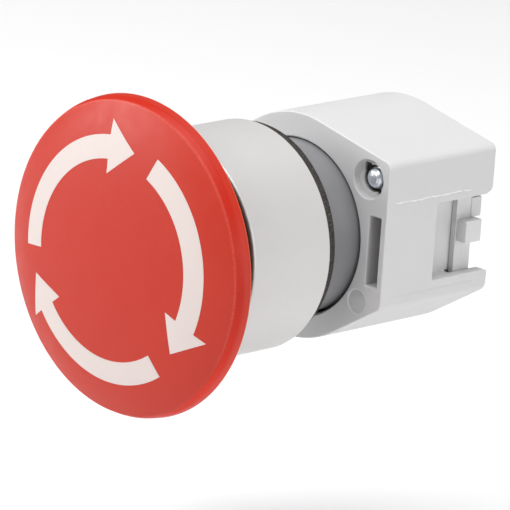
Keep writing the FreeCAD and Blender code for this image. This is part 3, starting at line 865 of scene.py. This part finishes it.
# ---------------------------------------------------------------------------------------
# sleeve, collar, seals and neck; outlines are (radius, y, corner radius)
# ---------------------------------------------------------------------------------------
def build_sleeve():
    radius, hole, front, rear = 10.19, 7.57, -21.95, -6.2
    sleeve = turned([(radius, front, 0), (radius, rear, 0.35), (hole, rear, 0.2),
                     (hole, front, 0)], steps=5, segs=200, name="twist_tube")
    # notches in the rear edge, at the top and the bottom
    for turn in (0, 180):
        cut(sleeve, rotate(block(-1.1, 1.1, -7.4, -5.0, 7.0, 10.8, 0.02, 0.12), turn))
    finish(sleeve, "head", BLACK, "twist_sleeve")


def build_collar():
    lip_radius = 11.0
    collar = turned([(COLLAR_BORE, COLLAR_REAR, 0.05), (COLLAR_RADIUS, COLLAR_REAR, 0.22),
                     (COLLAR_RADIUS, COLLAR_FRONT, 0.45), (lip_radius, COLLAR_FRONT, 0.3),
                     (lip_radius, SEAL_FRONT, 0.1), (COLLAR_BORE, SEAL_FRONT, 0.1)],
                    steps=9, segs=288, name="bezel_collar")
    finish(collar, "housing", SILVER, "collar", angle=40)


def build_gasket():
    """Flat ring behind the collar, a little off the axis, with a notch at the top."""
    hole = 11.35
    gasket = turned([(hole, COLLAR_REAR, 0), (GASKET_RADIUS, COLLAR_REAR, 0.1),
                     (GASKET_RADIUS, GASKET_REAR, 0.15), (12.9, GASKET_REAR, 0.1),
                     (12.7, GASKET_REAR - 0.12, 0.1), (12.5, GASKET_REAR, 0.1),
                     (hole, GASKET_REAR, 0)], steps=5, name="panel_seal")
    move(gasket, GASKET_X, 0, GASKET_Z)
    cut(gasket, loft(rect(-1.7, 1.7, 10.0, 12.3, 0.1), [(-2.0, 0), (1.5, 0)]))
    finish(gasket, "housing", RUBBER, "panel_gasket")


def build_stem_seal():
    seal = turned([(10.25, SEAL_FRONT, 0.05), (13.3, SEAL_FRONT, 0.05), (13.3, SEAL_REAR, 0.05),
                   (10.9, SEAL_REAR, 0.1), (10.9, -11.7, 0.15), (10.25, -12.2, 0.1)],
                  steps=4, segs=200, name="stem_lip_seal")
    finish(seal, "housing", RUBBER, "stem_seal")


def build_front_bushing():
    rear = -0.8
    bushing = turned([(STEM_HOLE_RADIUS, SEAL_REAR, 0.1), (COLLAR_BORE, SEAL_REAR, 0.1),
                      (COLLAR_BORE, rear, 0.05), (NECK_RADIUS, rear, 0.0),
                      (NECK_RADIUS, NECK_FRONT, 0.0), (STEM_HOLE_RADIUS, NECK_FRONT, 0.0)],
                     steps=5, name="front_bushing")
    finish(bushing, "housing", DARK_GREY, "front_ring")


def build_neck():
    rear = 21.0
    neck = turned([(STEM_HOLE_RADIUS, NECK_FRONT, 0.0), (NECK_RADIUS, NECK_FRONT, 0.0),
                   # outer groove
                   (NECK_RADIUS, 11.4, 0.12), (10.0, 11.4, 0.15), (10.0, 13.6, 0.15),
                   (NECK_RADIUS, 13.6, 0.12), (NECK_RADIUS, rear, 0.5), (NECK_BORE, rear, 0.3),
                   # inner groove
                   (NECK_BORE, 20.0, 0.0), (9.2, 20.0, 0.0), (9.2, 19.3, 0.0),
                   (NECK_BORE, 19.3, 0.0), (NECK_BORE, -2.0, 0.1),
                   (STEM_HOLE_RADIUS, -2.0, 0.1)], steps=5, name="neck_body")
    # four slots from the outer groove to the rear edge
    levels = [(12.9, 0), (20.6, 0), (20.9, 0.1), (21.5, 0.35), (22.5, 0.35)]
    for k in range(4):
        cut(neck, loft(sector(10.0, 12.2, 15 + 90 * k, 12, corner=0.12, steps=16), levels))
    # key on top, in the notch of the gasket
    fuse(neck, block(-1.5, 1.5, -0.8, 1.5, 10.3, 12.05, 0.15, 0.2))
    finish(neck, "housing", DARK_GREY, "actuator_body")


# ---------------------------------------------------------------------------------------
# mounting flange
# ---------------------------------------------------------------------------------------
def flange_loop():
    """Outline in x, z: lines from the corners run tangent into the top and bottom arcs."""
    def tangent(z):
        return math.atan2(z, FLAT_X) + math.acos(ARC_RADIUS / math.hypot(FLAT_X, z))

    start, end = tangent(TALL_Z), math.pi - tangent(LOW_Z)
    half = [(FLAT_X, -LOW_Z, 1.3), (FLAT_X, TALL_Z, 1.0)]
    steps = 40
    for k in range(steps + 1):
        angle = start + (end - start) * k / steps
        half.append((ARC_RADIUS * math.cos(angle), ARC_RADIUS * math.sin(angle), 0))
    return rounded(half + [(-a, -b, r) for a, b, r in half], steps=8)


def flange_tools():
    """Cutters that are used on one side of the flange and again after a half turn."""
    # stepped screw hole
    yield bore(rounded([(0, 7.5, 0), (2.6, 7.5, 0), (2.6, 8.06, 0), (2.5, 8.16, 0.1),
                        (2.44, 9.08, 0.12), (1.75, 9.08, 0.05), (1.7, 9.3, 0), (1.7, 10.2, 0),
                        (1.55, 10.2, 0), (1.55, 21.4, 0), (2.5, 21.4, 0.1), (2.5, 27.2, 0),
                        (2.75, 27.5, 0), (2.75, 29, 0), (0, 29, 0)], steps=4, closed=False),
               SCREW_X, SCREW_Z)
    # recess above the hole and notch below it, both in the floor of the counterbore
    yield loft(rect(SCREW_X - 1.65, SCREW_X - 0.55, SCREW_Z + 0.6, SCREW_Z + 1.85, 0.2),
               [(8.6, 0.0), (9.85, 0.0), (10.0, 0.1)])
    notch = [(0.6, -1.2, 0), (0.75, -1.75, 0.15), (1.15, -1.95, 0.12), (1.4, -1.6, 0.12),
             (1.4, -0.8, 0)]
    yield loft(rounded([(SCREW_X + a, SCREW_Z + b, r) for a, b, r in notch], steps=4),
               [(8.6, 0.0), (12.0, 0)])
    # deep front slot beside the flat side
    yield loft(rect(12.73, 14.64, -4.76, 4.18, 0.12),
               [(7.5, 0.14), (8.06, 0.14), (8.12, 0.07), (8.26, 0), (15.2, 0)])
    # square chamber across the screw hole
    yield loft(rect(SCREW_X - 2.2, SCREW_X + 2.2, SCREW_Z - 2.2, SCREW_Z + 2.2, 0.1),
               [(16.6, 0), (18.4, 0)])
    # ejector mark
    yield bore([(0, 7.5), (1.60, 7.5), (1.60, 8.06), (1.54, 8.10), (MARK_RADIUS, 8.20),
                (0, 8.20)], MARK_X, MARK_Z, segs=64)
    # side window, open to the rear, with rounded rail ends, as (y, z, corner radius)
    rear = FLANGE_REAR
    window = [(17.2, -4.8, 0.15), (rear - 0.75, -4.8, 0), (rear - 0.30, -4.92, 0.2),
              (rear + 0.05, -5.3, 0), (rear + 0.4, -6.5, 0), (rear + 2, -6.5, 0),
              (rear + 2, 7.5, 0), (rear + 0.2, 7.5, 0), (rear + 0.03, 6.6, 0.2),
              (rear - 0.45, 5.5, 0.3), (rear - 1.3, 5.12, 0.3), (rear - 3.0, 5.1, 0),
              (17.2, 5.1, 0.15)]
    yield loft(rounded(window, steps=5),
               [(13.0, 0), (15.45, 0), (15.53, 0.03), (15.61, 0.12), (17.5, 0.12)], along_x)


def ragged(y):
    return (0.5 + 0.22 * math.sin(3.1 * y + 0.4) + 0.16 * math.sin(7.7 * y + 1.9)
            + 0.12 * math.sin(17.3 * y + 0.7))


def flash_line(side):
    """Moulding flash on a flat side: a thin ridge along Y with a ragged crest."""
    middle_z, y0, y1 = 6.15, 9.2, 23.6
    mean_height, mean_width = 0.085, 0.20
    steps = 150
    verts = []
    for i in range(steps + 1):
        y = y0 + (y1 - y0) * i / steps
        fade = min(1.0, i / 6, (steps - i) / 6)
        height = mean_height * (0.25 + 0.9 * ragged(y)) * max(0.05, fade)
        width = mean_width * (0.6 + 0.7 * ragged(y * 1.7 + 3))
        z = middle_z + 0.05 * math.sin(1.3 * y) + 0.03 * math.sin(5.1 * y + 2)
        section = [(-0.25, -width / 2), (0.004, -width / 2), (height, -width * 0.1),
                   (height * 0.8, width * 0.18), (0.004, width / 2), (-0.25, width / 2)]
        verts += [(side * (FLAT_X + dx), y, side * (z + dz)) for dx, dz in section]
    faces = tube_faces(steps + 1, 6)
    faces += [tuple(range(6)), tuple(range(steps * 6 + 5, steps * 6 - 1, -1))]
    return mesh_object("flash", verts, faces)


def side_groove(side):
    """Fine V groove along Y in a flat side."""
    loop = [(-5.98, 0.0), (-5.9, -0.045), (-5.82, 0.0), (-5.82, 0.5), (-5.98, 0.5)]
    groove = loft(loop, [(10.0, 0), (24.4, 0)], lambda a, b, h: (FLAT_X + b, h, a))
    return rotate(groove, 0 if side == 1 else 180)


def build_flange():
    flange = loft(flange_loop(), rounded_levels(FLANGE_FRONT, FLANGE_REAR, 0.18, 0.55, steps=6),
                  name="flange_shell")
    # front hole for the neck, a little low, then the wide bore behind it
    front_hole = turned([(0, 7.0, 0), (11.6, 7.0, 0), (11.6, 8.0, 0), (11.3, 8.28, 0.2),
                         (11.3, 10.5, 0), (0, 10.5, 0)], closed=False)
    cut(flange, move(front_hole, 0, 0, -0.20))
    cut(flange, turned([(0, 10.3, 0), (12.95, 10.3, 0.1), (12.95, 27.2, 0.0), (13.25, 27.6, 0),
                        (13.25, 29, 0), (0, 29, 0)], closed=False))
    # rear opening for the carrier
    cut(flange, loft(rect(-14.1, 14.1, -6.3, 6.3, 0.35),
                     [(15.0, 0), (27.1, 0), (27.3, 0.06), (27.5, 0.25), (29.0, 0.25)]))
    for turn in (0, 180):
        for tool in flange_tools():
            cut(flange, rotate(tool, turn))
    # window on the -X side only
    cut(flange, loft(rect(10.95, 13.65, -6.0, 6.0, 0.3),
                     [(-12.0, 0), (-15.45, 0), (-15.53, 0.03), (-15.61, 0.12), (-18.0, 0.12)],
                     along_x))
    for side in (1, -1):
        fuse(flange, flash_line(side))
        cut(flange, side_groove(side))
    finish(flange, "housing", FLANGE_GREY, "flange_housing", angle=35)


# ---------------------------------------------------------------------------------------
# clamp screws
# ---------------------------------------------------------------------------------------
# blunt uneven point as (radius, y), from the tip
SCREW_TIP = [
    (0.0, 8.62), (0.16, 8.625), (0.3, 8.65), (0.38, 8.64), (0.5, 8.69), (0.6, 8.75),
    (0.66, 8.75), (0.78, 8.83), (0.88, 8.91), (0.93, 8.92), (1.04, 9.03), (1.13, 9.14),
    (1.16, 9.16), (1.24, 9.29), (1.31, 9.45), (1.33, 9.6), (1.28, 9.7),
]


def screw(name):
    """Clamp screw on the Y axis: pointed front end, cut thread, slotted pan head at the rear."""
    crest, root, pitch = 1.4, 1.16, 0.5
    y0, y1 = 9.75, 23.6
    segs, rows_per_turn = 40, 8
    rows = int((y1 - y0) / pitch * rows_per_turn)
    verts = []
    for j in range(rows + 1):
        y = y0 + (y1 - y0) * j / rows
        fade = min(1, (y - y0) / 0.5, (y1 - y) / 0.6)
        for k in range(segs):
            angle = TAU * k / segs
            phase = ((y - y0) / pitch - k / segs) % 1.0
            wave = abs(phase - 0.5) * 2
            flank = 1 - min(1, max(0, (wave - 0.12) / 0.76))
            radius = root + (crest - root) * (1 - flank * max(0, fade))
            verts.append((radius * math.cos(angle), y, radius * math.sin(angle)))
    faces = tube_faces(rows + 1, segs)
    rings = add_rings(verts, SCREW_TIP, segs) + [range(segs)]
    faces += ring_faces(rings, segs)
    head = rounded([(1.4, 24.0, 0), (2.2, 24.0, 0.12), (2.2, 25.15, 0.5), (1.3, 25.6, 0.6),
                    (0, 25.6, 0)], closed=False)
    rings = [range(rows * segs, (rows + 1) * segs)] + add_rings(verts, head, segs)
    faces += ring_faces(rings, segs)
    ob = mesh_object(name, verts, faces)
    cut(ob, loft(rect(-3, 3, -0.3, 0.3, 0.0),
                 [(24.85, -0.03), (24.9, 0), (25.5, 0), (25.62, 0.06), (27, 0.06)]))
    return ob


def build_screws():
    upper = rotate(screw("clamp_screw_a"), 25)
    lower = turned_copy(upper, 130, "clamp_screw_b")
    move(upper, SCREW_X, 0, SCREW_Z)
    move(lower, -SCREW_X, 0, -SCREW_Z)
    for ob, body, node in ((upper, "screw_upper", "clamp_screw_upper"),
                           (lower, "screw_lower", "clamp_screw_lower")):
        finish(ob, body, ZINC, node, angle=38, cleaned=False)


# ---------------------------------------------------------------------------------------
# contact carrier and release latches
# ---------------------------------------------------------------------------------------
def build_carrier():
    carrier = loft(rect(-14.05, 14.05, -6.2, 6.2, 0.3),
                   rounded_levels(CARRIER_FRONT, CARRIER_REAR, 0.05, 0.1, steps=3),
                   name="block_carrier")
    fuse(carrier, turned([(0, 14.35, 0), (12.9, 14.35, 0.1), (12.9, 16.2, 0.1), (0, 16.2, 0)],
                         segs=160, closed=False))
    # each side is cut back and carries an upright wall that reaches to the rear
    wall_x = 13.05
    for turn in (0, 180):
        cut(carrier, rotate(loft(rect(wall_x, 15.5, -4.8, 4.8, 0.1), [(17.2, 0), (30.0, 0)]),
                            turn))
        fuse(carrier, rotate(block(11.75, wall_x, 18.5, 26.4, -4.8, 4.8, 0.1, 0.1), turn))
    cut(carrier, lathe([(0, 13), (11.25, 13), (11.25, 28), (0, 28)], segs=200))
    for turn in (0, 180):
        for z in (-COIL_Z, COIL_Z):
            cut(carrier, rotate(spring_hole(COIL_FRONT, CARRIER_REAR + 0.6, z), turn))
    finish(carrier, "housing", INSERT_GREY, "contact_carrier", angle=35)


def latch(name):
    """Upright strip on the +X side: four fine grooves, a sloping rear end, a hook and a tab."""
    inner, outer = LATCH_INNER_X, LATCH_OUTER_X
    front, rear = LATCH_FRONT, LATCH_REAR
    outline = [(inner, front), (outer - 0.05, front), (outer, front + 0.05)]
    groove_floor = 13.905
    for y in (23.75, 24.05, 24.35, 24.65):
        outline += [(outer, y - 0.09), (groove_floor, y - 0.02), (groove_floor, y + 0.02),
                    (outer, y + 0.09)]
    outline += [(outer, 24.85), (13.60, 25.88), (13.50, rear), (inner, rear)]
    strip = loft(outline, [(-6.15, 0), (6.15, 0)], along_z, name="strip")
    # inner blocks at both ends, which hold the springs
    for z0, z1 in ((-6.14, -4.85), (4.85, 6.14)):
        fuse(strip, block(12.4, 13.6, front + 0.03, rear - 0.03, z0, z1, 0.06, 0.06))
    # rear tab and outer hook
    fuse(strip, block(13.17, 13.93, 25.3, 27.15, 1.8, 4.35, 0.16, 0.12))
    hook = [(13.4, 22.86, 0.05), (15.56, 22.86, 0.2), (15.56, 25.8, 0.4), (13.4, 25.8, 0.1)]
    fuse(strip, loft(rounded(hook), rounded_levels(-0.9, 1.9, 0.1, 0.12), along_z))
    for z in (-COIL_Z, COIL_Z):
        cut(strip, spring_hole(front - 0.5, COIL_REAR, z))
    strip.name = name
    return strip


def build_latches():
    right_latch = latch("side_latch_a")
    left_latch = turned_copy(right_latch, 180, "side_latch_b")
    for ob, body, node in ((right_latch, "latch_right", "release_latch_right"),
                           (left_latch, "latch_left", "release_latch_left")):
        finish(ob, body, INSERT_GREY, node, angle=35)


# ---------------------------------------------------------------------------------------
# lock ring and thrust plate
# ---------------------------------------------------------------------------------------
def build_lock_ring():
    inner, outer, front, rear = 11.2, 12.8, 10.4, 14.2
    ring = turned([(inner, front, 0.15), (outer, front, 0.2), (outer, rear, 0.2),
                   (inner, rear, 0.15)], steps=5, segs=200, name="bayonet_ring")
    # four inner lugs
    for k in range(4):
        fuse(ring, loft(sector(10.1, 11.7, 45 + 90 * k, 9, corner=0.12, steps=8),
                        rounded_levels(11.5, 13.5, 0.05, 0.05, steps=3)))
    # lever through the -X window, with a wider end, as (x, z, corner radius)
    lever = [(-12.1, -1.1, 0), (-12.1, 1.1, 0), (-15.75, 1.1, 0.15), (-16.0, 1.5, 0.15),
             (-17.4, 1.5, 0.55), (-17.4, -1.5, 0.55), (-16.0, -1.5, 0.15), (-15.75, -1.1, 0.15)]
    fuse(ring, rotate(loft(rounded(lever), rounded_levels(11.1, 13.5, 0.2, 0.2)), -15))
    finish(ring, "lock_ring", DARK_GREY, "lock_ring", angle=35)


def build_thrust_plate():
    front, rear = 21.3, 22.5
    plate = turned([(3.2, front, 0.05), (10.4, front, 0.2), (10.4, rear, 0.3), (9.2, rear, 0.3),
                    (8.9, 22.35, 0.3), (5.4, 22.35, 0.3), (5.1, rear, 0.2), (3.2, rear, 0.1)],
                   steps=5, segs=160, name="drive_plate")
    # four round holes and two edge notches
    hole = [(0, 20.5), (1.6, 20.5), (1.6, 22.28), (1.72, 22.4), (1.72, 23), (0, 23)]
    for k in range(4):
        x, z = polar(7.2, 45 + 90 * k)
        cut(plate, bore(hole, x, z, segs=48))
    for turn in (0, 180):
        cut(plate, rotate(loft(rect(-2.2, 2.2, 9.2, 12, 0.35), [(20.5, 0), (23.5, 0)]), turn))
    finish(plate, "plunger", NATURAL, "thrust_plate")


# ---------------------------------------------------------------------------------------
# coil springs
# ---------------------------------------------------------------------------------------
def coil(name, mean_radius, wire_radius, y0, y1, turns, x=0.0, z=0.0, per_turn=44, ring=12):
    """Compression spring along Y with nearly flat end turns; y0 and y1 are over the wire."""
    steps = int(per_turn * turns)
    low, high = y0 + wire_radius, y1 - wire_radius
    flat = 0.75 / turns

    def lift(t):
        # slow start and slow end, even pitch between
        if t < flat:
            return 0.5 * t * t / flat
        if t > 1 - flat:
            return 1 - flat - 0.5 * (1 - t) ** 2 / flat
        return t - 0.5 * flat

    verts = []
    for i in range(steps + 1):
        t = i / steps
        angle = TAU * turns * t
        centre = Vector((mean_radius * math.cos(angle),
                         low + (high - low) * lift(t) / (1 - flat),
                         mean_radius * math.sin(angle)))
        outward = Vector((math.cos(angle), 0, math.sin(angle)))
        before, after = max(0.0, t - 1e-3), min(1.0, t + 1e-3)
        climb = (high - low) * (lift(after) - lift(before)) / (1 - flat)
        sweep = TAU * turns * (after - before)
        tangent = Vector((-mean_radius * math.sin(angle) * sweep, climb,
                          mean_radius * math.cos(angle) * sweep)).normalized()
        side = tangent.cross(outward).normalized()
        for k in range(ring):
            around = TAU * k / ring
            p = centre + wire_radius * (math.cos(around) * outward + math.sin(around) * side)
            verts.append((p.x + x, p.y, p.z + z))
    faces = tube_faces(steps + 1, ring)
    faces.append(tuple(range(ring - 1, -1, -1)))
    faces.append(tuple(range(steps * ring, (steps + 1) * ring)))
    return mesh_object(name, verts, faces)


def build_springs():
    spring = coil("return_coil", mean_radius=6.1, wire_radius=0.45, y0=8.5, y1=18.0, turns=4.5)
    finish(spring, "housing", SPRING, "return_spring", angle=50, cleaned=False)
    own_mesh(spring)
    for side, tag, name in ((1, "a", "right"), (-1, "b", "left")):
        for z, end in ((-COIL_Z, "low"), (COIL_Z, "high")):
            spring = coil(f"side_coil_{tag}_{end}", mean_radius=0.36, wire_radius=0.1,
                          y0=COIL_FRONT, y1=COIL_REAR, turns=8.0, x=COIL_X * side, z=z * side,
                          per_turn=20, ring=8)
            finish(spring, "housing", OILED, f"latch_springs_{name}",
                   angle=50, cleaned=False)
            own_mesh(spring)


# ---------------------------------------------------------------------------------------
# pieces that keep the frame's own mesh
# ---------------------------------------------------------------------------------------
FRAME_FINISHES = {
    "sleeve_circlip": SPRING, "release_cam": NATURAL, "plunger": NATURAL,
    "twist_return_spring": SPRING, "latch_pawl_right": STEEL, "latch_pawl_left": STEEL,
    "pawl_spring": SPRING, "spring_retainer": DARK_GREY, "body_circlip": SPRING,
    "shaft_circlip": SPRING, "clamp_nuts": ZINC,
}


def paint_frame_pieces():
    for node, material in FRAME_FINISHES.items():
        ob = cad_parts[node]
        for slot in ob.material_slots:
            slot.material = material
        if not ob.material_slots:
            ob.data.materials.append(material)


# ---------------------------------------------------------------------------------------
# stage: pale floor, soft light, camera; in metres
# ---------------------------------------------------------------------------------------
def build_floor():
    size, z = 6.0, -0.045
    mesh = bpy.data.meshes.new("floor")
    mesh.from_pydata([(-size, -size, z), (size, -size, z), (size, size, z), (-size, size, z)],
                     [], [(0, 1, 2, 3)])
    floor = add_object("floor", mesh)
    n = Shader("floor_white")
    n.set(Base_Color=n.mix(n.noise(scale=3, detail=2), (0.80, 0.80, 0.80), (0.82, 0.82, 0.82)),
          Roughness=0.9)
    # clear when looked at from underneath, so the object can be seen from below
    mixer = n.new("ShaderNodeMixShader")
    n.link(n.new("ShaderNodeNewGeometry").outputs["Backfacing"], mixer.inputs[0])
    n.link(n.bsdf.outputs[0], mixer.inputs[1])
    n.link(n.new("ShaderNodeBsdfTransparent").outputs[0], mixer.inputs[2])
    n.link(mixer.outputs[0], n.tree.nodes["Material Output"].inputs["Surface"])
    floor.data.materials.append(n.material)


# area lights aimed at the origin: name, place, size, power in watts
LIGHTS = [
    ("top", (0.05, -0.05, 0.9), 0.7, 8.6),
    ("fronttop", (0.0, -0.72, 0.66), 0.5, 3.2),
    ("rightfront", (0.80, -0.45, 0.40), 0.5, 0.0),
    ("right", (0.95, 0.15, 0.20), 0.5, 3.4),
    ("leftfront", (-0.70, -0.65, 0.30), 0.5, 6.4),
]


def build_lights():
    world = bpy.data.worlds.new("soft")
    bpy.context.scene.world = world
    world.use_nodes = True
    background = world.node_tree.nodes["Background"]
    background.inputs["Color"].default_value = (1.0, 1.0, 1.0, 1)
    background.inputs["Strength"].default_value = 0.18
    for name, place, size, power in LIGHTS:
        light = bpy.data.lights.new(name, "AREA")
        light.energy = power
        light.size = size
        ob = add_object(name, light)
        ob.location = place
        aim = Vector((0, 0, 0)) - Vector(place)
        ob.rotation_euler = aim.to_track_quat("-Z", "Y").to_euler()


def set_view_transform():
    view = bpy.context.scene.view_settings
    view.view_transform = "Standard"
    view.look = "None"
    view.exposure = 0.0
    view.gamma = 1.0


def build_camera():
    """Camera in front, to the right and above, looking at a point near the origin."""
    azimuth, elevation, roll = math.radians(44.1), math.radians(15.38), math.radians(3.98)
    distance = 0.703
    target = Vector((6.22, -5.04, -0.50)) * MM
    back = Vector((math.sin(azimuth) * math.cos(elevation),
                   -math.cos(azimuth) * math.cos(elevation), math.sin(elevation)))
    right = Vector((math.cos(azimuth), math.sin(azimuth), 0))
    up = right.cross(-back)
    rolled_right = math.cos(roll) * right + math.sin(roll) * up
    rolled_up = -math.sin(roll) * right + math.cos(roll) * up
    camera = bpy.data.cameras.new("view")
    camera.sensor_width = 36.0
    camera.lens = 404.54118
    camera.clip_start = 0.01
    camera.clip_end = 50
    ob = add_object("view", camera)
    matrix = Matrix.Identity(4)
    for i, axis in enumerate((rolled_right, rolled_up, back)):
        matrix[0][i], matrix[1][i], matrix[2][i] = axis
    matrix.translation = target + back * distance
    ob.matrix_world = matrix
    bpy.context.scene.camera = ob


build_cap()
build_arrows()
build_sleeve()
build_collar()
build_gasket()
build_stem_seal()
build_front_bushing()
build_neck()
build_flange()
build_screws()
build_carrier()
build_latches()
build_lock_ring()
build_thrust_plate()
build_springs()
paint_frame_pieces()
build_floor()
build_lights()
set_view_transform()
build_camera()
